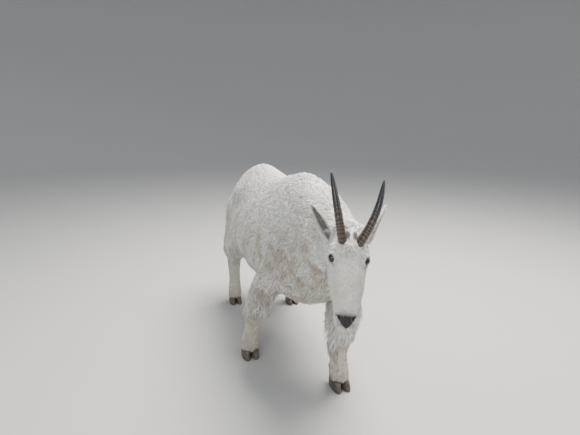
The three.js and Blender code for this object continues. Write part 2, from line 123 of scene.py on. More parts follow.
def form_points(rows, u, angle, grow=0.0):
    """The form's surface: its section is half an ellipse above the widest line and half below, with the
    sine of the upper half raised to the roof power, grown outwards by grow millimetres."""
    g = through(girths(rows), u)
    c, s = np.cos(angle), np.sin(angle)
    high = np.where(
        s >= 0,
        np.abs(s) ** g[..., 12] * (g[..., 9] + grow),
        s * (g[..., 10] + grow),
    )
    up, side = units(g[..., 3:6]), units(g[..., 6:9])
    return g[..., 0:3] + up * high[..., None] + side * (c * (g[..., 11] + grow))[..., None]


def closed_rings(points):
    """Vertices and faces of rings of points, closed round and capped at both ends by a fan."""
    rings, sides = points.shape[:2]
    flat = points.reshape(-1, 3)
    ends = np.array([points[0].mean(0), points[-1].mean(0)])
    i, k = np.meshgrid(np.arange(rings - 1), np.arange(sides), indexing="ij")
    n = (k + 1) % sides
    quads = np.stack([i * sides + k, i * sides + n, (i + 1) * sides + n, (i + 1) * sides + k], -1)
    k = np.arange(sides)
    n = (k + 1) % sides
    first = np.stack([np.full(sides, len(flat)), n, k], -1)
    base = (rings - 1) * sides
    last = np.stack([np.full(sides, len(flat) + 1), base + k, base + n], -1)
    faces = [list(map(int, f)) for f in quads.reshape(-1, 4)]
    faces += [list(map(int, f)) for f in np.vstack([first, last])]
    return np.vstack([flat, ends]), faces


def grid(along, sides):
    """Every place along a form, with every angle round it."""
    return np.meshgrid(along, np.arange(sides) * 2 * math.pi / sides, indexing="ij")


def form_mesh(rows, steps, sides, grow=0.0):
    """A closed form on an even grid of steps along it and sides round it."""
    u, angle = grid(np.linspace(0, 1, steps), sides)
    return closed_rings(form_points(rows, u, angle, grow))


# The legs: level girths from the elbow or stifle to the coronet, each with its height, where it lies in
# front and behind, its half width and its middle. The goat is in mid stride with its left foreleg ahead.
HOOF_HEIGHT = 42
LEGS = {
    "foreleg_right": [
        (620, -440, -340, 30, -90), (560, -450, -300, 60, -104), (480, -436, -276, 64, -132),
        (420, -402, -258, 64, -156), (350, -350, -230, 57, -174), (290, -310, -205, 51, -184),
        (245, -270, -180, 50, -187), (212, -252, -168, 48, -191), (182, -236, -160, 40, -195),
        (140, -217, -146, 38, -199), (102, -204, -128, 42, -203), (72, -202, -118, 44, -205),
        (HOOF_HEIGHT, -206, -114, 45, -206),
    ],
    "foreleg_left": [
        (620, -450, -370, 30, 90), (560, -470, -330, 60, 100), (480, -496, -338, 68, 114),
        (420, -518, -362, 68, 118), (350, -546, -400, 66, 116), (290, -560, -432, 56, 100),
        (245, -566, -458, 50, 90), (212, -562, -472, 48, 86), (182, -548, -470, 40, 87),
        (140, -536, -464, 38, 91), (102, -532, -456, 42, 94), (72, -536, -450, 44, 96),
        (HOOF_HEIGHT, -542, -450, 45, 97),
    ],
    "hindleg_right": [
        (690, 300, 450, 40, -96), (630, 232, 530, 74, -112), (560, 200, 542, 80, -118),
        (490, 192, 540, 82, -130), (430, 212, 524, 80, -144), (370, 270, 512, 70, -156),
        (315, 352, 512, 55, -160), (268, 412, 522, 45, -163), (235, 424, 512, 42, -165),
        (195, 418, 488, 38, -167), (145, 408, 474, 36, -169), (102, 398, 474, 40, -170),
        (72, 394, 478, 42, -170), (HOOF_HEIGHT, 390, 478, 43, -170),
    ],
    "hindleg_left": [
        (690, 290, 440, 40, 76), (630, 215, 515, 74, 92), (560, 166, 516, 80, 102),
        (490, 132, 492, 82, 114), (430, 134, 452, 80, 128), (370, 170, 420, 70, 140),
        (315, 246, 408, 55, 144), (268, 306, 412, 45, 147), (235, 316, 400, 42, 149),
        (195, 310, 378, 38, 150), (145, 298, 364, 36, 151), (102, 290, 364, 40, 152),
        (72, 286, 368, 42, 152), (HOOF_HEIGHT, 284, 370, 43, 152),
    ],
}


def leg_rows(rows):
    """A leg's rows as girths, with one more that runs down into the hoof."""
    z, front, behind, half, x = rows[-1]
    rows = rows + [(z - 8, front + 8, behind - 9, half - 5, x)]
    return [((behind, z), (front, z), half, 0.5, 1, x, 0) for z, front, behind, half, x in rows]


# The tail: short, held close under the rump.
TAIL = [
    ((500, 760), (500, 700), 30, 0.5, 1, -18, 0),
    ((548, 742), (530, 690), 32, 0.5, 1, -18, 0),
    ((582, 706), (548, 660), 30, 0.5, 1, -18, 0),
    ((600, 655), (566, 630), 22, 0.5, 1, -18, 0),
    ((600, 612), (582, 606), 8, 0.5, 1, -18, 0),
]

# The head: drawn level, facing -y from the poll at its origin, then set on the neck, turned towards the
# goat's right, pitched down and rolled a little.
POLL = np.array([-28, -812, 770.0])
HEAD_DOWN, HEAD_TURN, HEAD_ROLL = 47, -26, 6
SKULL = [
    ((28, -22), (40, -120), 40, 0.5, 1, 0, 0),
    ((0, 0), (12, -148), 54, 0.6, 1, 0, 0),
    ((-45, 8), (-35, -155), 59, 0.62, 0.9, 0, 0),
    ((-82, 6), (-80, -150), 61, 0.66, 0.85, 0, 0),
    ((-110, 0), (-118, -138), 57, 0.66, 0.9, 0, 0),
    ((-150, -7), (-155, -122), 55, 0.58, 0.95, 0, 0),
    ((-190, -14), (-196, -106), 47, 0.52, 1, 0, 0),
    ((-230, -21), (-232, -96), 38, 0.5, 1, 0, 0),
    ((-262, -30), (-258, -94), 35, 0.5, 1, 0, 0),
    ((-284, -44), (-276, -88), 28, 0.5, 1, 0, 0),
    ((-292, -56), (-288, -78), 18, 0.5, 1, 0, 0),
]


def turn(axis, degrees):
    """The matrix that turns about x, y or z."""
    c, s = math.cos(math.radians(degrees)), math.sin(math.radians(degrees))
    i, j = {"x": (1, 2), "y": (2, 0), "z": (0, 1)}[axis]
    m = np.eye(3)
    m[i, i] = m[j, j] = c
    m[i, j], m[j, i] = -s, s
    return m


HEAD_SET = turn("z", HEAD_TURN) @ turn("x", HEAD_DOWN) @ turn("y", HEAD_ROLL)


def in_head(points):
    """Points of the level head, set on the neck."""
    return np.asarray(points) @ HEAD_SET.T + POLL


def level(points):
    """Points in metres in the frame, back in the level head's millimetres."""
    return ((points - SHIFT) * 1000 - POLL) @ HEAD_SET


def ball(centre, radii, steps=24, sides=32):
    """An ellipsoid: circles of latitude whose radius is the sine of the way down from its pole."""
    pole = 0.02
    down, a = grid(np.linspace(pole, math.pi - pole, steps), sides)
    sphere = np.stack([np.sin(down) * np.cos(a), np.sin(down) * np.sin(a), np.cos(down)], -1)
    return closed_rings(sphere * radii + centre)


# The skin: trunk, legs, tail and head, each drawn in by the depth of its wool, and balls for the nose pad,
# the chin and the jaws. One remesh joins them and smoothing follows, so that no seam shows.
SKIN_VOXEL = 0.0074
WOOL_DEPTH = {"trunk": 13, "tail": 6, "leg": 4, "head": 2}
parts = [
    (form_mesh(TRUNK, 90, 72, -WOOL_DEPTH["trunk"]), False),
    (form_mesh(TAIL, 20, 24, -WOOL_DEPTH["tail"]), False),
    *((form_mesh(leg_rows(rows), 70, 36, -WOOL_DEPTH["leg"]), False) for rows in LEGS.values()),
    (form_mesh(SKULL, 60, 48, -WOOL_DEPTH["head"]), True),
    (ball(np.array([0, -279, -57]), [25, 14, 19]), True),
    (ball(np.array([0, -262, -87]), [23, 21, 12]), True),
    (ball(np.array([0, -40, -88]), [50, 62, 58]), True),
]
points, faces, count = [], [], 0
for (v, f), on_head in parts:
    points.append(placed(in_head(v) if on_head else v))
    faces += [[i + count for i in face] for face in f]
    count += len(v)


def linked(name, data):
    """A new object in the scene."""
    made = bpy.data.objects.new(name, data)
    bpy.context.scene.collection.objects.link(made)
    return made


rough = bpy.data.meshes.new("rough_skin")
rough.from_pydata(np.vstack(points).tolist(), [], faces)
skin = linked("skin", rough)
remesh = skin.modifiers.new("join", "REMESH")
remesh.mode = "VOXEL"
remesh.voxel_size = SKIN_VOXEL


def applied(obj):
    """The object's mesh with its modifiers made real, which are then removed."""
    mesh = bpy.data.meshes.new_from_object(obj.evaluated_get(bpy.context.evaluated_depsgraph_get()))
    obj.modifiers.clear()
    obj.data = mesh
    return mesh


mesh = applied(skin)


def values_of(items, name, each, kind=float):
    """One property of all the items, as rows of so many numbers each."""
    values = np.empty(len(items) * each, kind)
    items.foreach_get(name, values)
    return values.reshape(-1, each)


def places(mesh):
    """The vertices' places."""
    return values_of(mesh.vertices, "co", 3)


def normals(mesh):
    """The vertices' normals."""
    return values_of(mesh.vertices, "normal", 3)


def smoothed(co, edges, rounds, weight=0.5):
    """Each round moves a vertex part of the way to the mean of its neighbours."""
    n = len(co)
    degree = np.bincount(edges.ravel(), minlength=n)[:, None]
    for _ in range(rounds):
        total = np.zeros_like(co)
        for axis in range(3):
            total[:, axis] = np.bincount(edges[:, 0], co[edges[:, 1], axis], n)
            total[:, axis] += np.bincount(edges[:, 1], co[edges[:, 0], axis], n)
        w = weight if np.isscalar(weight) else weight[:, None]
        co = co + w * (total / np.maximum(degree, 1) - co)
    return co


def set_places(mesh, co):
    """Moves the vertices to new places."""
    mesh.vertices.foreach_set("co", co.ravel())
    mesh.update()


def within(points, low, high):
    """Which points lie inside a box."""
    return ((points > low) & (points < high)).all(axis=1)


co, edges = places(mesh), values_of(mesh.edges, "vertices", 2, int)
local = level(co)
head_share = np.clip((-local[:, 1] - 20) / 60, 0, 1) * (local[:, 2] > -190)
co = smoothed(co, edges, 12, 0.55 * (1 - 0.85 * head_share))
co = smoothed(co, edges, 3, 0.4)
set_places(mesh, co)

# The head's part of the skin is made finer, twice over where the eyes, nose and mouth are.
for behind in (30, -55):
    bm = bmesh.new()
    bm.from_mesh(mesh)
    centres = level(np.array([f.calc_center_median()[:] for f in bm.faces]))
    chosen = within(centres, (-100, -330, -175), (100, behind, math.inf))
    cut = {e for f, ok in zip(bm.faces, chosen) if ok for e in f.edges}
    bmesh.ops.subdivide_edges(bm, edges=list(cut), cuts=1, use_grid_fill=True)
    bmesh.ops.triangulate(bm, faces=[f for f in bm.faces if len(f.verts) > 4])
    bm.to_mesh(mesh)
    bm.free()
    co, edges = places(mesh), values_of(mesh.edges, "vertices", 2, int)
    weight = 0.5 * within(level(co), (-110, -340, -190), (110, 40, math.inf))
    set_places(mesh, smoothed(co, edges, 3, weight))


def bell(*spans):
    """The bell curve: e to the power of minus the sum of the squares."""
    return np.exp(-sum(span**2 for span in spans))


def swell(co, out, bumps):
    """Each bump is a place, a radius and a height: vertices move out along their normals by the height
    times the bell curve of their distance over the radius."""
    for place, radius, height in bumps:
        away = np.linalg.norm((co - placed(place)) / (np.array(radius) / 1000), axis=1)
        co = co + out * (height / 1000 * bell(away))[:, None]
    return co


# Hips, hollows, shoulder blades and the folds between them, under the coat
MUSCLES = [
    ((-150, 300, 700), (46, 60, 40), 14), ((140, 300, 700), (46, 60, 40), 14),
    ((-190, 215, 640), (50, 60, 70), -17), ((185, 215, 640), (50, 60, 70), -17),
    ((-170, 390, 560), (60, 80, 90), 13), ((150, 380, 560), (60, 80, 90), 13),
    ((-150, -330, 640), (50, 70, 120), 12), ((150, -330, 640), (50, 70, 120), 12),
    ((-195, -215, 600), (40, 32, 150), -10), ((195, -215, 600), (40, 32, 150), -10),
    ((-150, -430, 480), (60, 60, 70), 13), ((150, -430, 480), (60, 60, 70), 13),
    ((-110, -520, 600), (40, 34, 130), -9), ((110, -520, 600), (40, 34, 130), -9),
    ((-214, -60, 470), (60, 90, 80), 7), ((214, -60, 470), (60, 90, 80), 7),
    ((-190, 150, 420), (60, 60, 60), -9), ((190, 110, 420), (60, 60, 60), -9),
    ((0, -330, 870), (60, 60, 30), 6), ((-8, 345, 840), (70, 70, 30), 6),
    ((-20, -60, 812), (120, 190, 60), 15),
]
set_places(mesh, swell(places(mesh), normals(mesh), MUSCLES))

# The face: brows and lids round each eye, a socket that the eyeball sits in, cheek bones, nostrils, the
# nose pad, lips with the mouth between them, all moved into the skin. A place on the midline is met once
# from each side, so it counts half each time.
EYE = np.array([45, -94, -24.0])
GAZE = unit([0.62, -0.30, 0.72])
EYE_RADIUS = 15
LID_WIDTH, LID_HEIGHT = 12.5, 11
NOSTRIL_SLANT = 32
FACE = [
    ((50, -75, -100), (30, 38, 34), 5), ((45, -140, -50), (20, 32, 20), -5),
    ((46, -128, -78), (14, 45, 12), 3.5), ((30, -205, -58), (16, 35, 20), -3),
    ((20, -282, -52), (12, 14, 12), 4), ((24, -262, -82), (14, 24, 12), 4.5),
    ((42, -84, -2), (18, 20, 12), 6), ((0, -75, 6), (26, 34, 20), 3),
    ((0, -150, 0), (22, 35, 14), -3), ((0, -264, -102), (18, 18, 12), 4),
    ((40, -40, -20), (16, 22, 22), -4),
]


def eye_axes(side):
    """An eye's centre, the way it looks, and the directions across and over it."""
    gaze = GAZE * [side, 1, 1]
    across = unit(np.cross(gaze, [0, 0, 1]))
    return EYE * [side, 1, 1], gaze, across, np.cross(across, gaze)


def above_mouth(points):
    """The height over the mouth, a line that falls by 0.12 of its length from the nose backwards."""
    return points[:, 2] + 79 + 0.12 * (points[:, 1] + 262)


local = level(places(mesh))
out = normals(mesh) @ HEAD_SET
for side in (1, -1):
    for place, radius, height in FACE:
        away = np.linalg.norm((local - np.array(place) * [side, 1, 1]) / radius, axis=1)
        local += out * (height * (1 if place[0] else 0.5) * bell(away))[:, None]
for side in (1, -1):
    eye, gaze, across, over = eye_axes(side)
    rel = local - eye
    w, h, d = rel @ across, rel @ over, rel @ gaze
    ring = np.sqrt((w / LID_WIDTH) ** 2 + (h / LID_HEIGHT) ** 2)
    near = np.exp(-((np.linalg.norm(rel, axis=1) / 46) ** 4))
    lid = bell((ring - 1.25) / 0.34) * (d > -4) * (1 + 0.35 * np.clip(h / 10, -1, 1))
    local += near[:, None] * lid[:, None] * gaze * 4.0
    brow = bell(w / 20, (h - 19) / 8) * (d > -10)
    local += brow[:, None] * (gaze * 2.5 + over * 2.0)
    tear = bell(w / 30, (h + 24) / 9) * (d > -14)
    local -= tear[:, None] * gaze * 2.0
    pit = np.clip((1.02 - ring) / 0.25, 0, 1) * (d > -8)
    sunk = eye + gaze * (EYE_RADIUS - 8)
    local += pit[:, None] * ((sunk - local) @ gaze)[:, None] * gaze
    hole = (local - [side * 21, -264, -38]) @ turn("y", side * NOSTRIL_SLANT)
    size = np.sqrt((hole[:, 0] / 7) ** 2 + (hole[:, 2] / 4.5) ** 2 + (hole[:, 1] / 9) ** 2)
    inwards = np.array([-0.35 * side, 0.62, -0.70])
    local += (8 * np.exp(-(size**3)) - 1.5 * bell((size - 1.6) / 0.5))[:, None] * inwards
lip = np.abs(above_mouth(local)) / 1.9
front = np.clip((-local[:, 1] - 222) / 10, 0, 1)
inward = np.stack([local[:, 0], (local[:, 1] + 240) * 0.7, np.zeros(len(local))], -1)
local -= units(inward, 1e-9) * (front * 4.2 * bell(lip))[:, None]
philtrum = bell(local[:, 0] / 1.6) * (local[:, 1] < -284) * bell((local[:, 2] + 66) / 8)
local[:, 1] += 1.6 * philtrum
set_places(mesh, placed(in_head(local)))

# Ears: a narrow leaf each, hollowed on its front, standing back and out from behind the horns. They are
# one with the skin: dark and thinly haired inside, white and woolly on the back and along the edges.
EAR_HALF, EAR_EDGE = 21, 0.8
EARS = {
    "right": ((-54, -30, -40), (-0.53, 0.84, 0.12), (-0.52, -0.45, 0.66), 130),
    "left": ((54, -30, -40), (0.38, 0.87, 0.31), (0.90, -0.30, 0.15), 124),
}


def ear_half(t):
    """Half the ear's width: its half breadth times the sine of pi (0.16 + 0.84 t)^0.75, to the power
    0.8, and the edge's own thickness."""
    return EAR_HALF * np.abs(np.sin(math.pi * np.clip(0.16 + 0.84 * t, 0, 1) ** 0.75)) ** 0.8 + EAR_EDGE


def ear_points(root, along, front, length, steps=44, sides=40):
    """Rings from the root to the tip, hollowed on the front as the square of the way across."""
    along, front = unit(along), np.array(front)
    across = unit(np.cross(front, along))
    t = np.linspace(0, 1, steps)[:, None]
    half = ear_half(t)
    cup = 12 * (1 - t) ** 0.6
    s = np.linspace(-1, 1, sides // 2 + 1)
    s = np.concatenate([s, s[-2:0:-1]])[None, :]
    back = (np.arange(s.shape[1]) > sides // 2)[None, :]
    rise = cup * (s * s - 0.6) + np.where(back, -(2.5 + 6 * (1 - t)) * (1 - s * s), 0)
    rise = rise + np.where(back, 0, 0.9 * np.sin(s * 9) * (1 - s * s) * (1 - t))
    middle = np.array(root) + along * length * t
    return middle[:, None, :] + across * (s * half)[..., None] + front * rise[..., None]


body_count = len(mesh.vertices)
bm = bmesh.new()
bm.from_mesh(mesh)
for ear in EARS.values():
    v, f = closed_rings(ear_points(*ear))
    made = [bm.verts.new(p) for p in placed(in_head(v))]
    bm.verts.index_update()
    ear_faces = [bm.faces.new([made[i] for i in face]) for face in f]
    bmesh.ops.recalc_face_normals(bm, faces=ear_faces)
bmesh.ops.triangulate(bm, faces=bm.faces[:])
bm.to_mesh(mesh)
bm.free()
mesh.polygons.foreach_set("use_smooth", np.ones(len(mesh.polygons), bool))

bpy.context.view_layer.objects.active = skin
skin.select_set(True)
bpy.ops.object.mode_set(mode="EDIT")
bpy.ops.mesh.select_all(action="SELECT")
mesh.uv_layers.new(name="OFBake")
bpy.ops.uv.smart_project(angle_limit=math.radians(66), island_margin=0.002)
bpy.ops.object.mode_set(mode="OBJECT")
mesh = skin.data


def soft(value, low, high):
    """0 below low, 1 above high, and a smooth step between them."""
    t = np.clip((value - low) / (high - low), 0, 1)
    return t * t * (3 - 2 * t)


def blotches(p, size, seed):
    """Between 0 and 1: waves of that size in millimetres, summed in directions that the seed gives."""
    local_rng = np.random.default_rng(seed)
    total = np.zeros(len(p))
    for _ in range(9):
        direction = local_rng.normal(size=3)
        direction /= np.linalg.norm(direction) * size * local_rng.uniform(0.6, 1.7)
        total += np.sin(2 * math.pi * (p @ direction) + local_rng.uniform(0, 6.28))
    return 0.5 + 0.5 * np.tanh(total / 3)


# The markings: a white coat with warm dirt and painted shade, the same on the skin and on every tuft over
# it
WHITE = (0.92, 0.905, 0.86)
STRAW = (0.60, 0.46, 0.27)
# Earth brown: dirt on the knees, feet and chest, and painted shade at the bottom of the chest
EARTH_AND_SHADE = (0.50, 0.40, 0.28)
GREEN = (0.44, 0.43, 0.22)
DARK = (0.030, 0.026, 0.024)
NOSE = (0.030, 0.027, 0.027)
NOSTRIL_SHADE = (0.006, 0.005, 0.005)
EAR_DARK = (0.085, 0.075, 0.068)
EAR_HAIR = (0.34, 0.31, 0.28)
GREY = (0.74, 0.71, 0.63)
CREAM = (0.80, 0.73, 0.55)
BELLY_SHADE = (0.66, 0.60, 0.50)
SPOT = (0.10, 0.08, 0.06)
MUZZLE = (0.72, 0.67, 0.56)
BROW = (0.66, 0.57, 0.40)
FUZZ = (0.27, 0.26, 0.25)
TEAR = (0.16, 0.14, 0.12)


def markings_and_shade(p, ear=None, inside=None):
    """The coat's colour at points in metres: white, mixed with each stain and each painted shade by soft
    masks of place.
    """
    g, h = (p - SHIFT) * 1000, level(p)
    x, y, z = g.T
    hx, hy, hz = h.T
    colour = np.tile(WHITE, (len(p), 1)).astype(float)

    def mix(tint, share):
        share = np.clip(share, 0, 1)[:, None]
        return colour * (1 - share) + np.array(tint) * share

    on_head = soft(-hy, -10, 30) * (hz > -200) * (np.abs(hx) < 120)
    body = 1 - on_head
    # Grey in blotches below the back, while the top of the back stays white: uneven tone, and painted shade
    # from the light above.
    dull = soft(blotches(g, 150, 3), 0.35, 0.8)
    colour = mix(GREY, 0.75 * body * dull * soft(-z, -760, -560))
    low = soft(-z, -300, -215) * body
    colour = mix(CREAM, low * (0.15 + 0.5 * blotches(g, 60, 5)))
    knees = bell((z - 236) / 26) * (y < 0) + bell((z - 270) / 34) * (y > 0) * 0.7
    colour = mix(EARTH_AND_SHADE, 0.85 * knees * soft(blotches(g, 40, 6), 0.2, 0.6))
    colour = mix(EARTH_AND_SHADE, 0.35 * soft(-z, -120, -45))
    chest = soft(-x, 5, 60) * soft(-y, 130, 330) * soft(-z, -730, -600) * soft(z, 330, 430)
    colour = mix(EARTH_AND_SHADE, 0.62 * body * chest * soft(blotches(g, 70, 8), 0.42, 0.72))
    colour = mix(STRAW, 0.4 * body * soft(-y, 450, 640) * soft(blotches(g, 60, 9), 0.4, 0.8))
    # Brown blotches at the bottom of the chest, between the forelegs: painted shade under the chest, in the
    # earth colour.
    brisket = soft(-z, -470, -380) * soft(-y, 250, 330) * soft(z, 300, 340)
    colour = mix(EARTH_AND_SHADE, 0.4 * body * brisket * soft(blotches(g, 45, 14), 0.2, 0.7))
    # Darker beige under the belly: painted shade.
    under = soft(-z, -430, -330) * soft(np.abs(y + 20) * -1, -330, -200)
    colour = mix(BELLY_SHADE, 0.5 * under * body)
    spots = soft(blotches(g, 16, 12), 0.86, 0.93) * (z < 215) * (y < -400)
    colour = mix(SPOT, 0.8 * spots)
    colour = mix(MUZZLE, 0.6 * on_head * soft(-hy, 90, 200) * soft(hz, -60, -20))
    colour = mix(BROW, 0.55 * on_head * bell(hx / 24, (hy + 72) / 26) * (hz > -40))
    colour = mix(GREEN, 0.6 * on_head * soft(-hy, 205, 250) * soft(-hz, 66, 84))
    down = -0.92 * hy - 0.38 * hz
    reach = 31 * (np.clip(281 - down, 0, 40) / 38) ** 0.7
    nose_v = soft(down, 239, 250) * soft(reach - np.abs(hx), -1.5, 1.5) * soft(hz, -72, -66)
    fuzz = soft(down, 226, 246) * soft(-down, -282, -270) * soft(-np.abs(hx), -30, -16)
    colour = mix(FUZZ, 0.8 * on_head * fuzz * soft(hz, -72, -60))
    colour = mix(NOSE, nose_v * on_head)
    # A dark line along the mouth: dark lip skin, with painted shade in the slit between the lips.
    mouth = bell(above_mouth(h) / 3.0) * soft(-hy, 218, 232) * on_head
    colour = mix(DARK, 0.98 * mouth)
    for side in (1, -1):
        eye, gaze, across, over = eye_axes(side)
        rel = h - eye
        ring = np.sqrt(((rel @ across) / LID_WIDTH) ** 2 + ((rel @ over) / LID_HEIGHT) ** 2)
        outside = rel @ gaze > -12
        tear = bell((side * rel @ across - 19) / 7, (rel @ over + 3) / 3)
        colour = mix(TEAR, 0.8 * tear * outside)
        near = outside * (np.linalg.norm(rel, axis=1) < 34)
        colour = mix(DARK, 0.95 * soft(-ring, -1.32, -1.05) * near)
        gland = np.linalg.norm((h - [side * 11 + 2, -32, 2]) / [8, 15, 14], axis=1)
        colour = mix(DARK, 0.98 * soft(-gland, -1.2, -0.8))
        # Near black in each nostril: painted shade inside its opening.
        hole = (h - [side * 21, -263, -37]) @ turn("y", side * NOSTRIL_SLANT)
        size = np.sqrt((hole[:, 0] / 8) ** 2 + (hole[:, 2] / 5) ** 2 + (hole[:, 1] / 11) ** 2)
        colour = mix(NOSTRIL_SHADE, soft(-size, -1.2, -0.8))
    if ear is not None:
        colour = np.where(ear[:, None], np.array(WHITE) * 0.97, colour)
        colour = mix(EAR_DARK, np.where(ear, inside, 0))
    return colour


# Which of the skin is ear, and how far inside the ear it is
co, out = places(mesh), normals(mesh)
is_ear = np.arange(len(co)) >= body_count
inside = np.zeros(len(co))
local = level(co)
for root, along, front, length in EARS.values():
    along, front = unit(along), unit(front)
    across = unit(np.cross(front, along))
    rel = local - root
    t = (rel @ along) / length
    s = np.abs(rel @ across) / ear_half(t)
    near = is_ear & (np.linalg.norm(rel - np.outer(t * length, along), axis=1) < 40) & (t > -0.1)
    facing = (out @ HEAD_SET) @ front
    hollow = soft(-s, -0.8, -0.35) * soft(facing, 0.0, 0.3) * soft(-t, -0.97, -0.85)
    inside = np.where(near, hollow, inside)


def paint(mesh, colours):
    """Gives each vertex its colour."""
    layer = mesh.attributes.new("marking", "FLOAT_COLOR", "POINT")
    layer.data.foreach_set("color", np.hstack([colours, np.ones((len(colours), 1))]).ravel())


paint(mesh, markings_and_shade(co, is_ear, inside) * 0.9)


def node_material(name, roughness):
    """A material of that roughness, with its nodes, links and surface shader."""
    material = bpy.data.materials.new(name)
    material.use_nodes = True
    nodes, links = material.node_tree.nodes, material.node_tree.links
    surface = nodes["Principled BSDF"]
    surface.inputs["Roughness"].default_value = roughness
    return material, nodes, links, surface


def marking(nodes):
    """The colour that paint gave."""
    painted = nodes.new("ShaderNodeAttribute")
    painted.attribute_name = "marking"
    return painted.outputs["Color"]


def grain(nodes, links, place, scale, detail):
    """Noise of that scale and detail at a place."""
    noise = nodes.new("ShaderNodeTexNoise")
    noise.inputs["Scale"].default_value = scale
    noise.inputs["Detail"].default_value = detail
    links.new(place, noise.inputs["Vector"])
    return noise.outputs["Fac"]


def relief(nodes, links, height, strength, distance):
    """A bump in the surface from a height."""
    bump = nodes.new("ShaderNodeBump")
    bump.inputs["Strength"].default_value = strength
    bump.inputs["Distance"].default_value = distance
    links.new(height, bump.inputs["Height"])
    links.new(bump.outputs["Normal"], nodes["Principled BSDF"].inputs["Normal"])


def wool_material(name, bump_height):
    """Wool: the marking colour, a little uneven in tone, dull with a faint sheen, and with a fine bump
    where a height is given."""
    material, nodes, links, surface = node_material(name, 0.82)
    surface.inputs["Specular IOR Level"].default_value = 0.25
    surface.inputs["Sheen Weight"].default_value = 0.25
    surface.inputs["Sheen Roughness"].default_value = 0.5
    place = nodes.new("ShaderNodeTexCoord").outputs["Object"]
    tone = nodes.new("ShaderNodeMapRange")
    tone.inputs["From Min"].default_value = 0.3
    tone.inputs["From Max"].default_value = 0.7
    tone.inputs["To Min"].default_value = 0.9
    tone.inputs["To Max"].default_value = 1.04
    links.new(grain(nodes, links, place, 55, 4), tone.inputs["Value"])
    toned = nodes.new("ShaderNodeMix")
    toned.data_type = "RGBA"
    toned.blend_type = "MULTIPLY"
    toned.inputs[0].default_value = 1
    links.new(marking(nodes), toned.inputs[6])
    links.new(tone.outputs["Result"], toned.inputs[7])
    links.new(toned.outputs[2], surface.inputs["Base Color"])
    if bump_height:
        relief(nodes, links, grain(nodes, links, place, 420, 3), 0.5, bump_height)
    return material


skin.data.materials.clear()
skin.data.materials.append(wool_material("skin under the wool", 0.0012))
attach(skin, "root")
FLESH = ("torso", "neck", "head", "tail", "ear", "foreleg", "hindleg")
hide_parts(*[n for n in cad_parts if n.split("_")[0] in FLESH])

# The coat: a dense woolly summer coat, drawn as thin tapering tufts that lie along the body from the neck
# back and down. They are rooted in the skin, longest in the beard, the fringes over the knees and the tail,
# and shortest on the face and the feet.
TUFTS = 132000
USUAL_LENGTH, USUAL_WIDTH = 30, 2.5
mesh.calc_loop_triangles()
corner = values_of(mesh.loop_triangles, "vertices", 3, int)
loop = values_of(mesh.loop_triangles, "loops", 3, int)
uv = values_of(mesh.uv_layers["OFBake"].data, "uv", 2)


def tuft_length(p, n, ear):
    """How long the tufts are at a place, in millimetres."""
    g, h = (p - SHIFT) * 1000, level(p)
    _, y, z = g.T
    hx, hy, hz = h.T
    length = 27 + 7 * soft(-y, -300, 0) * soft(-z, -700, -520)
    length = length + 8 * soft(-n[:, 2], 0.3, 0.8) * soft(z, 300, 330)
    crest = soft(-y, 330, 480) * soft(n[:, 2], 0.5, 0.9)
    length = length + 10 * crest
    length = np.where(y > 500, np.maximum(length, 34 + 10 * soft(-z, -700, -620)), length)
    fore = y < -100
    knee = np.where(fore, 250.0, 312.0)
    fringe = bell((z - knee - 62) / 52) * soft(z, 0, 20)
    length = length + 20 * fringe * (z < 470)
    leg = soft(knee - z, -16, 22)
    length = length * (1 - leg) + (13 + 5 * soft(-z, -80, -45)) * leg
    on_head = soft(-hy, -6, 34) * (hz > -210) * (np.abs(hx) < 115)
    face = 5 + 8 * soft(hy, -130, -40) + 6 * soft(hy, -60, -10)
    face = face + 6 * soft(-hz, 90, 125) * soft(hy, -225, -150)
    crown = bell(hx / 40, (hy + 12) / 40) * soft(hz, -60, -10)
    face = face + 14 * crown
    length = length * (1 - on_head) + face * on_head
    beard = soft(-hy, 128, 150) * soft(hy, -250, -236) * soft(-hz, 88, 100) * soft(-np.abs(hx), -32, -20)
    length = length * (1 - beard) + (66 - 0.18 * (-hy - 150)) * beard
    gland = np.linalg.norm((h - np.array([2, -32, 2])) / [24, 22, 20], axis=1)
    length = np.where((gland < 1) & (on_head > 0.3), 6, length)
    length = np.where(ear, 8.5, length)
    return length, on_head, leg, beard


tri = co[corner]
area = np.linalg.norm(np.cross(tri[:, 1] - tri[:, 0], tri[:, 2] - tri[:, 0]), axis=1) / 2
tri_n = out[corner].mean(1)
tri_length = tuft_length(tri.mean(1), tri_n, is_ear[corner[:, 0]])[0]
bare = markings_and_shade(tri.mean(1)).max(1) < 0.08
weight = area * (USUAL_LENGTH / tri_length) ** 1.15 * np.where(bare, 0.02, 1)
weight *= 1 - 0.6 * inside[corner].mean(1)
steps = np.cumsum(weight) / weight.sum()
pick = np.searchsorted(steps, (np.arange(TUFTS) + rng.uniform(0, 1, TUFTS)) / TUFTS)
pick = pick.clip(0, len(corner) - 1)
r1, r2 = np.sqrt(rng.uniform(0, 1, TUFTS)), rng.uniform(0, 1, TUFTS)
share = np.stack([1 - r1, r1 * (1 - r2), r1 * r2], 1)[..., None]
root = (tri[pick] * share).sum(1)
normal = units((out[corner[pick]] * share).sum(1))
root_uv = (uv[loop[pick]] * share).sum(1)
ear_root = is_ear[corner[pick, 0]]
ear_inside = (inside[corner[pick]][..., None] * share).sum(1)[:, 0]
length, on_head, on_leg, in_beard = tuft_length(root, normal, ear_root)
length = length * rng.uniform(0.72, 1.2, TUFTS)
width = USUAL_WIDTH * np.sqrt(length / USUAL_LENGTH) * rng.uniform(0.75, 1.3, TUFTS)

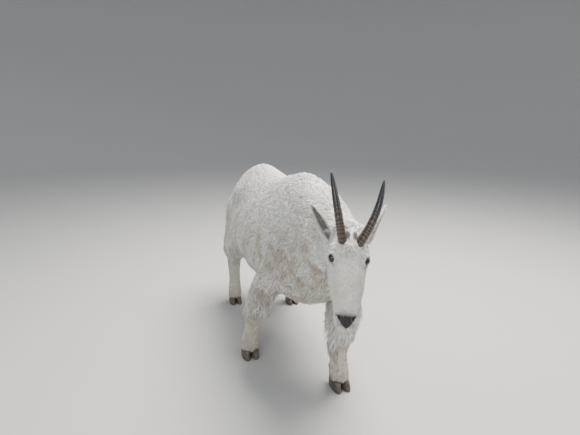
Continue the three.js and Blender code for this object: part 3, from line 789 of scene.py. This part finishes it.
# The way the coat lies: back and down over the body, down the legs, back over the face, along the ears
g, h = (root - SHIFT) * 1000, level(root)
lie = np.stack([0.35 * np.tanh(g[:, 0] / 60), np.full(TUFTS, 0.9), -0.25 - 0.75 * np.abs(normal[:, 0])], 1)
neck_share = soft(-g[:, 1], 380, 560)[:, None]
lie = lie * (1 - neck_share) + np.array([0, 0.55, -0.85]) * neck_share
low_share = soft(-g[:, 2], -520, -380)[:, None] * soft(np.abs(g[:, 0]), 30, 80)[:, None]
lie = lie * (1 - low_share) + np.array([0, 0.18, -1]) * low_share
rump_share = soft(g[:, 1], 430, 540)[:, None]
lie = lie * (1 - rump_share) + np.array([0, 0.35, -1]) * rump_share
cheek = np.stack([np.zeros(TUFTS), np.full(TUFTS, 0.45), np.full(TUFTS, -0.8)], 1)
bridge = np.stack([0.5 * np.tanh(h[:, 0] / 30), np.full(TUFTS, -1.0), np.full(TUFTS, -0.1)], 1)
crown = np.stack([0.4 * np.tanh(h[:, 0] / 30), np.full(TUFTS, 1.0), np.full(TUFTS, 0.1)], 1)
bridge_share = soft(h[:, 2], -70, -20)[:, None]
crown_share = soft(h[:, 1], -52, -22)[:, None]
head_lie = cheek * (1 - bridge_share) + bridge * bridge_share
head_lie = (head_lie * (1 - crown_share) + crown * crown_share) @ HEAD_SET.T
lie = lie * (1 - on_head[:, None]) + head_lie * on_head[:, None]
lie = lie * (1 - in_beard[:, None]) + np.array([0, 0.12, -1]) * in_beard[:, None]
for base, along, _, _ in EARS.values():
    near = ear_root & (h[:, 0] * base[0] > 0)
    lie[near] = unit(along) @ HEAD_SET.T
turning = 0.7 * (blotches(g, 110, 21) - 0.5) + 0.5 * (blotches(g, 40, 22) - 0.5)
turning = turning * (1 - 0.7 * on_head) * (1 - 0.6 * on_leg) + rng.normal(0, 0.2, TUFTS)
turning = np.where(ear_root, rng.normal(0, 0.25, TUFTS), turning)
lie = units(lie - normal * (lie * normal).sum(1, keepdims=True), 1e-9)
aside = np.cross(normal, lie)
lie = lie * np.cos(turning)[:, None] + aside * np.sin(turning)[:, None]
lift = 0.18 + 0.12 * blotches(g, 42, 31) + rng.uniform(-0.05, 0.08, TUFTS)
lift = lift * (1 - 0.35 * on_head) * (1 - 0.3 * on_leg)
lift = np.where(in_beard > 0.5, 0.06, lift)

# Neighbouring tufts draw together into locks: each leans to the tip of the lock whose root is nearest
long_enough = length > 7
mid = root + (lie * 0.5 + normal * (lift * 0.75)[:, None]) * (length / 1000)[:, None]
tip = root + (lie + normal * (lift * 0.8)[:, None]) * (length / 1000)[:, None]
sag = 0.16 * soft(length, 24, 60)
sag = np.where(in_beard > 0.5, 0.5, sag)
tip[:, 2] -= sag * length / 1000
mid[:, 2] -= 0.25 * sag * length / 1000
LOCK_TUFTS, LOCK_REACH = 9, 0.022
leaders = rng.choice(TUFTS, TUFTS // LOCK_TUFTS, replace=False)
tree = mathutils.kdtree.KDTree(len(leaders))
for i, p in enumerate(root[leaders]):
    tree.insert(p, i)
tree.balance()
leader = leaders[np.array([tree.find(p)[1] for p in root])]
away = np.linalg.norm(root - root[leader], axis=1)
pull = 0.5 * long_enough * (away < LOCK_REACH) * (normal * normal[leader]).sum(1).clip(0, 1)
lock_tip = tip[leader] + (root - root[leader]) * 0.15
tip = tip + (lock_tip - tip) * pull[:, None]
mid = mid + (mid[leader] - mid) * (0.3 * pull)[:, None]

tuft_colour = markings_and_shade(root, ear_root, ear_inside)
tuft_colour[ear_inside > 0.5] = EAR_HAIR
lock_tone = rng.uniform(0.84, 1.06, TUFTS)[leader]
fleck = np.where(rng.uniform(0, 1, TUFTS) < 0.1 + 0.08 * on_head, 0.62, 1.0)
tuft_colour *= (rng.uniform(0.86, 1.06, TUFTS) * fleck * lock_tone)[:, None]


def tuft_mesh(name, which):
    """Each tuft has three sides from its root to its middle, three from there to its tip, and a closed
    root. It takes its place in the skin's map from its root."""
    n = len(which)
    forward = units(mid[which] - root[which])
    side = units(np.cross(forward, normal[which]), 1e-9)
    w = (width[which] / 1000)[:, None]
    base = root[which] - normal[which] * 0.001
    ring0 = [base - side * w * 0.35, base + side * w * 0.35, base + normal[which] * w * 0.35]
    ring1 = [mid[which] - side * w * 0.5, mid[which] + side * w * 0.5, mid[which] + normal[which] * w * 0.4]
    v = np.stack([*ring0, *ring1, tip[which]], 1)
    pattern = np.array([
        [0, 1, 4], [0, 4, 3], [1, 2, 5], [1, 5, 4], [2, 0, 3], [2, 3, 5],
        [3, 4, 6], [4, 5, 6], [5, 3, 6], [0, 2, 1],
    ])
    each = v.shape[1]
    f = (np.arange(n)[:, None, None] * each + pattern).reshape(-1)
    made = bpy.data.meshes.new(name)
    made.vertices.add(n * each)
    made.vertices.foreach_set("co", v.ravel())
    made.loops.add(len(f))
    made.loops.foreach_set("vertex_index", f)
    made.polygons.add(len(f) // 3)
    made.polygons.foreach_set("loop_start", np.arange(0, len(f), 3))
    made.update(calc_edges=True)
    made.polygons.foreach_set("use_smooth", np.ones(len(f) // 3, bool))
    layer = made.uv_layers.new(name="OFBake")
    patch = np.array([[-1, -1], [1, -1], [0, -0.8], [-0.8, 0.1], [0.8, 0.1], [0, 0.2], [0, 1]]) * 0.0015
    spot = (root_uv[which][:, None, :] + patch).reshape(-1, 2)
    layer.data.foreach_set("uv", spot[f].ravel())
    # Each tuft is painted darker at its root and a little lighter at its tip: painted shade deep in the
    # coat and painted light on the tips.
    shade = np.array([0.70, 0.70, 0.74, 0.92, 0.92, 0.96, 1.06])
    colours = tuft_colour[which][:, None, :] * shade[None, :, None]
    paint(made, colours.reshape(-1, 3).clip(0, 1))
    return made


wool = wool_material("wool", 0)
x, y, z = g.T
region = np.select(
    [
        (on_head > 0.5) | ear_root,
        (y < -100) & (z < 400),
        (y >= -100) & (z < 440) & (np.abs(x) > 40) & (y > 120),
        y < -430,
        y > 330,
        y < -160,
        x < 0,
    ],
    [0, 1, 2, 3, 4, 5, 6],
    7,
)
NAMES = ["head", "forelegs", "hind_legs", "neck", "rump", "shoulders", "right_flank", "left_flank"]
PIECE_TUFTS = 19500
for k, name in enumerate(NAMES):
    chosen = np.flatnonzero(region == k)
    for part in range(0, len(chosen), PIECE_TUFTS):
        label = f"wool_{name}" + (f"_{part // PIECE_TUFTS + 1}" if len(chosen) > PIECE_TUFTS else "")
        piece = linked(label, tuft_mesh(label, chosen[part:part + PIECE_TUFTS]))
        piece.data.materials.append(wool)
        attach(piece, "root")

# Horns: black, slim, oval in section, rising from the brow and curving back, ringed over their lower
# two thirds and smooth at the tip. Each is one sheath, set in the coat.
HORN_LENGTH, HORN_WIDTH, HORN_DEPTH = 212, 27, 36


def horn_rings(t):
    """The growth rings along a horn, from -1 in a groove to 1 on a ridge, unevenly spaced."""
    return np.sin(2 * math.pi * (t**0.9 * 19 + 0.3 * np.sin(t * 23)))


def horn_points(side, steps=240, sides=40):
    """Rings along a path whose rise falls from 58 to 20 degrees, spreading most at the base. The section
    narrows by 0.42 t and closes at the tip, with ridges that fade out two thirds of the way up. The left
    horn is a little shorter and stands wider."""
    t = np.linspace(0, 1, steps)
    start, outward, bow, shorter = (27, 15, 9, 0.95) if side > 0 else (22, 14.5, 0, 1)
    rise, spread = np.radians(58 - 38 * t), np.radians(outward + bow * np.cos(math.pi * t))
    back, up = np.cos(rise) * np.cos(spread), np.sin(rise) * np.cos(spread)
    along = np.stack([side * np.sin(spread), back, up], 1)
    path = np.array([side * start, -48, -6]) + np.cumsum(along, 0) * HORN_LENGTH * shorter / steps
    path -= along[0] * 6
    across = units(np.array([1.0, 0, 0]) - along * along[:, :1])
    deep = np.cross(along, across)
    taper = 1.04 * (1 - 0.42 * t) * (1 - t**5) ** 0.5
    ridge = horn_rings(t)
    ridge = 1 + 0.028 * ridge * soft(t, 0.02, 0.06) * soft(-t, -0.72, -0.5)
    a = np.arange(sides) * 2 * math.pi / sides
    flutes = 1 + 0.012 * np.sin(a * 9 + 1)[None, :] * (1 - t)[:, None]
    size = (taper * ridge)[:, None] * flutes
    w = np.maximum(1.0, HORN_WIDTH / 2 * size)
    d = np.maximum(1.0, HORN_DEPTH / 2 * size)
    wide = across[:, None] * (np.cos(a) * w)[..., None]
    return path[:, None] + wide + deep[:, None] * (np.sin(a) * d)[..., None]


horn_material, nodes, links, surface = node_material("horn sheath", 0.38)
surface.inputs["Coat Weight"].default_value = 0.15
links.new(marking(nodes), surface.inputs["Base Color"])
place = nodes.new("ShaderNodeTexCoord").outputs["Object"]
relief(nodes, links, grain(nodes, links, place, 90, 5), 0.35, 0.0006)


def shown(name, vertices, faces, material, *nodes_replaced, slot):
    """A smooth piece from millimetres in the goat's drawing, in place of its plain solid."""
    made = bpy.data.meshes.new(name)
    made.from_pydata(placed(vertices).tolist(), [], faces)
    made.polygons.foreach_set("use_smooth", np.ones(len(made.polygons), bool))
    made.materials.append(material)
    piece = linked(name, made)
    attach(piece, "root")
    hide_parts(*nodes_replaced)
    return piece


for name, side in (("left", 1), ("right", -1)):
    rings = horn_points(side)
    v, f = closed_rings(rings)
    piece = shown(f"{name}_horn", in_head(v), f, horn_material, f"horn_{name}", slot="horn")
    t = np.append(np.repeat(np.linspace(0, 1, rings.shape[0]), rings.shape[1]), [0, 1])[:, None]
    # The brown is painted darker in the grooves between the growth rings: painted shade in the grooves.
    brown = np.array([0.075, 0.047, 0.033]) * (1 - 0.7 * soft(-horn_rings(t), -0.1, 0.8))
    black = np.array([0.016, 0.017, 0.022])
    paint(piece.data, brown + (black - brown) * soft(t, 0.3, 0.72))

# Eyes: a dark, wet ball each, with a brown iris and a level bar of a pupil, held by the lids of the skin
EYE_DARK, IRIS_BROWN, PUPIL_BLACK = (0.012, 0.009, 0.008), (0.034, 0.017, 0.009), (0.002, 0.002, 0.003)
IRIS_RADIUS, PUPIL_HALF_WIDTH, PUPIL_HALF_HEIGHT = 8.6, 5.6, 2.1
eye_material, nodes, links, surface = node_material("eye", 0.12)
surface.inputs["Specular IOR Level"].default_value = 0.25
surface.inputs["Coat Weight"].default_value = 0.55
surface.inputs["Coat Roughness"].default_value = 0.03
links.new(marking(nodes), surface.inputs["Base Color"])
for name, side in (("left", 1), ("right", -1)):
    eye, gaze, across, over = eye_axes(side)
    v, f = ball(eye, [EYE_RADIUS] * 3, steps=72, sides=96)
    rel = v - eye
    bulge = bell(np.linalg.norm(rel - gaze * EYE_RADIUS, axis=1) / 7)
    v = v + gaze * bulge[:, None] * 1.2
    away = np.hypot(rel @ across, rel @ over)
    front = rel @ gaze > 0
    rays = 0.8 + 0.3 * np.sin(np.arctan2(rel @ over, rel @ across) * 31)
    iris = front & (away < IRIS_RADIUS)
    shade = np.where(iris[:, None], np.array(IRIS_BROWN) * rays[:, None], EYE_DARK)
    pupil = front & (np.abs(rel @ over) < PUPIL_HALF_HEIGHT) & (np.abs(rel @ across) < PUPIL_HALF_WIDTH)
    shade = np.where(pupil[:, None], PUPIL_BLACK, shade)
    piece = shown(f"{name}_eye", in_head(v), f, eye_material, f"eye_{name}", slot="eye")
    paint(piece.data, shade)

# Hooves: two claws side by side on each foot, flat underneath, with growth lines round them; and a pair of
# small dewclaws behind each fetlock. Grey-brown horn in uneven level layers.
HOOF_WIDTH = {"fore": 74, "hind": 68}
DEWCLAW_ASIDE, DEWCLAW_RADII = 19, [8, 10, 13]


def claw_points(rows, pair, side, steps=26, sides=44):
    """Level girths from the coronet to the ground, through the same four rows as the solid, with growth
    lines as small waves down it."""
    _, front, behind, _, middle = rows[-1]
    half = HOOF_WIDTH[pair] / 4
    x = middle + side * (half + 1.5)
    table = [
        (HOOF_HEIGHT + 1, front + 7, behind - 9, half - 2, middle + side * (half - 3)),
        (HOOF_HEIGHT * 0.66, front, behind - 4, half + 0.5, x - side),
        (HOOF_HEIGHT * 0.33, front - 6, behind - 3, half + 1, x),
        (0, front - 10, behind - 6, half, x),
    ]
    rows_of = [((b, z), (f, z), w, 0.5, 1, m, 0) for z, f, b, w, m in table]
    u, a = grid(np.linspace(0, 1, steps), sides)
    edge = -1.6 * soft(u, 0.96, 1.0)
    return form_points(rows_of, u, a, 0.35 * np.sin(u * 44) * (1 - u) + edge)


hoof_material, nodes, links, surface = node_material("hoof horn", 0.55)
place = nodes.new("ShaderNodeTexCoord")
stretch = nodes.new("ShaderNodeMapping")
stretch.inputs["Scale"].default_value = (30, 30, 160)
links.new(place.outputs["Object"], stretch.inputs["Vector"])
layers = grain(nodes, links, stretch.outputs["Vector"], 1, 5)
ramp = nodes.new("ShaderNodeValToRGB")
ramp.color_ramp.elements[0].position = 0.3
ramp.color_ramp.elements[0].color = (0.030, 0.024, 0.019, 1)
ramp.color_ramp.elements[1].position = 0.75
ramp.color_ramp.elements[1].color = (0.135, 0.108, 0.078, 1)
links.new(layers, ramp.inputs["Fac"])
links.new(ramp.outputs["Color"], surface.inputs["Base Color"])
relief(nodes, links, layers, 0.4, 0.0006)
for name, rows in LEGS.items():
    title = name.split("_")[1] + "_" + ("fore" if name[0] == "f" else "hind")
    vertices, faces = [], []
    for side in (1, -1):
        v, f = closed_rings(claw_points(rows, name[:4], side))
        start = sum(map(len, vertices))
        faces += [[i + start for i in face] for face in f]
        vertices.append(v)
    shown(f"{title}_hoof", np.vstack(vertices), faces, hoof_material, f"hoof_{name}", slot="hoof")
    z, _, behind, _, x = rows[-2]
    for place_name, side in (("left", 1), ("right", -1)):
        v, f = ball(np.array([x + side * DEWCLAW_ASIDE, behind + 1, z - 4]), DEWCLAW_RADII)
        label = f"{title}_{place_name}_dewclaw"
        shown(label, v, f, hoof_material, f"dewclaw_{name}_{place_name}", slot="hoof")

# The floor: a plain pale sweep under the goat, flat to 8 m out and then bent up into a wall all round. The
# goat is lit softly from above, from the front and from one side.
FLAT, BEND, WALL, ROUND = 8, 5, 8.5, 96
bend = np.linspace(0, math.pi / 2, 24)
out_to = np.concatenate([[0.5, 4, FLAT], FLAT + BEND * np.sin(bend[1:]), [FLAT + BEND]])
up_to = np.concatenate([[0, 0, 0], BEND - BEND * np.cos(bend[1:]), [WALL]])
a = np.arange(ROUND) * 2 * math.pi / ROUND
sweep = np.stack([
    np.outer(out_to, np.cos(a)),
    np.outer(out_to, np.sin(a)),
    np.outer(up_to, np.ones(ROUND)),
], -1)
quads = []
for i in range(len(out_to) - 1):
    for k in range(ROUND):
        n = (k + 1) % ROUND
        quads.append(((i + 1) * ROUND + k, (i + 1) * ROUND + n, i * ROUND + n, i * ROUND + k))
floor_mesh = bpy.data.meshes.new("floor")
floor_mesh.from_pydata(sweep.reshape(-1, 3).tolist(), [], [*quads, tuple(range(ROUND))])
floor_mesh.polygons.foreach_set("use_smooth", np.ones(len(floor_mesh.polygons), bool))
floor = linked("floor", floor_mesh)
floor_material, _, _, surface = node_material("pale floor", 0.9)
surface.inputs["Base Color"].default_value = (0.40, 0.395, 0.38, 1)
floor_mesh.materials.append(floor_material)

world = bpy.data.worlds.new("studio")
bpy.context.scene.world = world
world.use_nodes = True
world.node_tree.nodes["Background"].inputs["Color"].default_value = (0.80, 0.85, 0.92, 1)
world.node_tree.nodes["Background"].inputs["Strength"].default_value = 1.0
LIGHTS = {
    "high key": ((0.9, 0.5, 3.4), (2.0, 2.0), 420, (1.0, 0.97, 0.92)),
    "front fill": ((-2.6, -3.2, 1.8), (2.5, 2.0), 95, (0.95, 0.97, 1.0)),
    "side fill": ((3.2, -1.5, 1.5), (2.0, 2.0), 48, (1.0, 0.98, 0.95)),
}
for name, (at, size, power, tint) in LIGHTS.items():
    lamp = bpy.data.lights.new(name, "AREA")
    lamp.shape = "RECTANGLE"
    lamp.size, lamp.size_y = size
    lamp.energy = power
    lamp.color = tint
    light = linked(name, lamp)
    light.location = at
    aim = mathutils.Vector((0, 0, 0.5)) - light.location
    light.rotation_euler = aim.to_track_quat("-Z", "Y").to_euler()

# The camera stands where the photographer stood, a little over a metre high. Its lens is given as a share
# of the film's width.
CAMERA_TURN, CAMERA_DOWN = -17.4, 13.4
FILM, FOCUS = 36, 410 / 580
LATERAL, DISTANCE, CAMERA_HEIGHT = 0.06, 1.62, 1.07
WITHERS = placed([0, -330, 0])
a = math.radians(CAMERA_TURN)
rightward, onward = np.array([math.cos(a), math.sin(a), 0]), np.array([-math.sin(a), math.cos(a), 0])
camera = linked("camera", bpy.data.cameras.new("camera"))
camera.location = WITHERS - LATERAL * rightward - DISTANCE * onward + [0, 0, CAMERA_HEIGHT]
camera.rotation_euler = (math.radians(90 - CAMERA_DOWN), 0, a)
camera.data.sensor_width = FILM
camera.data.lens = FILM * FOCUS
bpy.context.scene.camera = camera
